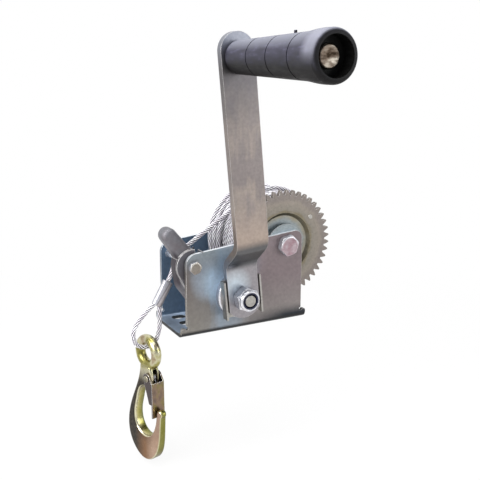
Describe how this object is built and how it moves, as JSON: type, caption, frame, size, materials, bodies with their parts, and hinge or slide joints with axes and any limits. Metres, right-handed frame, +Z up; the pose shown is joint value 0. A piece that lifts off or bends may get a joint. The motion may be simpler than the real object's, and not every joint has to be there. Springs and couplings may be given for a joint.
{
  "type": "hand winch",
  "caption": "Hand winch: bent sheet frame, geared rope drum, ratchet pawl, offset crank with a turning grip, and wire rope ending in a latched hook.",
  "frame": {"origin": "middle of the mounting slots, on the underside of the base", "axes": "+Z up from the base, +X from the rope end to the drum end, crank and handle on the -Y side"},
  "size_m": [0.1863, 0.2331, 0.3731],
  "materials": {
    "zinc_sheet": "bright zinc plated sheet",
    "zinc_gear": "zinc plated stamping",
    "zinc_bar": "zinc plated flat bar",
    "zinc_matt": "dull zinc plated stamping",
    "bright_fastener": "bright zinc plated fastener",
    "bare_steel": "bare turned steel",
    "nylon": "dark blue nylon",
    "sintered_bronze": "sintered bronze",
    "spring_wire": "spring wire",
    "grip_plastic": "moulded black plastic, soft sheen",
    "wire_rope": "galvanised stranded wire rope",
    "ferrule_aluminium": "pressed aluminium",
    "yellow_zinc": "forged steel, yellow zinc chromate",
    "yellow_zinc_sheet": "pressed sheet, yellow zinc chromate"
  },
  "bodies": {
    "base": {"frame": "zinc_sheet", "drum_axle_bolt": "bright_fastener", "drum_axle_nut": "bright_fastener", "drum_axle_sleeve": "zinc_sheet", "drum_thrust_washers": "zinc_sheet", "pinion_bush_front": "zinc_sheet", "pinion_bush_rear": "sintered_bronze", "pawl_bolt": "bright_fastener", "pawl_bolt_nut": "bright_fastener", "pawl_spring": "spring_wire", "locknut_inserts": "nylon", "rope_free_end": "wire_rope", "rope_ferrule": "ferrule_aluminium", "rope_eye": "wire_rope"},
    "drum": {"gear_wheel": "zinc_gear", "drum_barrel": "zinc_sheet", "drum_bushes": "sintered_bronze", "drum_flange": "zinc_sheet", "rope_anchor_rivet": "bright_fastener", "rope_anchor_clip": "bright_fastener", "rope_winding": "wire_rope"},
    "crank": {"pinion_shaft": "zinc_sheet", "shaft_clip": "zinc_sheet", "crank_spacer": "zinc_sheet", "crank_driver": "zinc_sheet", "crank_arm": "zinc_bar", "crank_nut": "bright_fastener", "crank_nut_insert": "nylon", "grip_stud": "bare_steel"},
    "handle": {"grip": "grip_plastic"},
    "pawl": {"pawl": "zinc_matt"},
    "hook": {"hook": "yellow_zinc", "hook_latch_pin": "yellow_zinc"},
    "latch": {"hook_latch": "yellow_zinc_sheet", "latch_spring": "spring_wire"}
  },
  "joints": [
    {"name": "drum_spin", "type": "hinge", "parent": "base", "child": "drum", "pos_m": [0.041, 0, 0.0708], "axis": [0, -1, 0], "continuous": true},
    {"name": "crank_spin", "type": "hinge", "parent": "base", "child": "crank", "pos_m": [-0.00938, 0, 0.03297], "axis": [0, -1, 0], "continuous": true},
    {"name": "grip_spin", "type": "hinge", "parent": "crank", "child": "handle", "pos_m": [-0.02768, -0.13, 0.23214], "axis": [0, -1, 0], "continuous": true},
    {"name": "pawl_pivot", "type": "hinge", "parent": "base", "child": "pawl", "pos_m": [-0.0494, -0.016, 0.0615], "axis": [0, -1, 0], "range_deg": [-8, 7]},
    {"name": "hook_swing", "type": "hinge", "parent": "base", "child": "hook", "pos_m": [-0.0816, 0, -0.0132], "axis": [0.9659, 0.2588, 0], "range_deg": [-35, 35]},
    {"name": "latch_pivot", "type": "hinge", "parent": "hook", "child": "latch", "pos_m": [-0.08031, -0.00483, -0.0401], "axis": [0.9659, 0.2588, 0], "range_deg": [0, 30], "stiffness_Nm_per_rad": 0.03, "springref_deg": -8.59}
  ],
  "couplings": [
    {"joint": "crank_spin", "follows": "drum_spin", "ratio": -2.75}
  ]
}
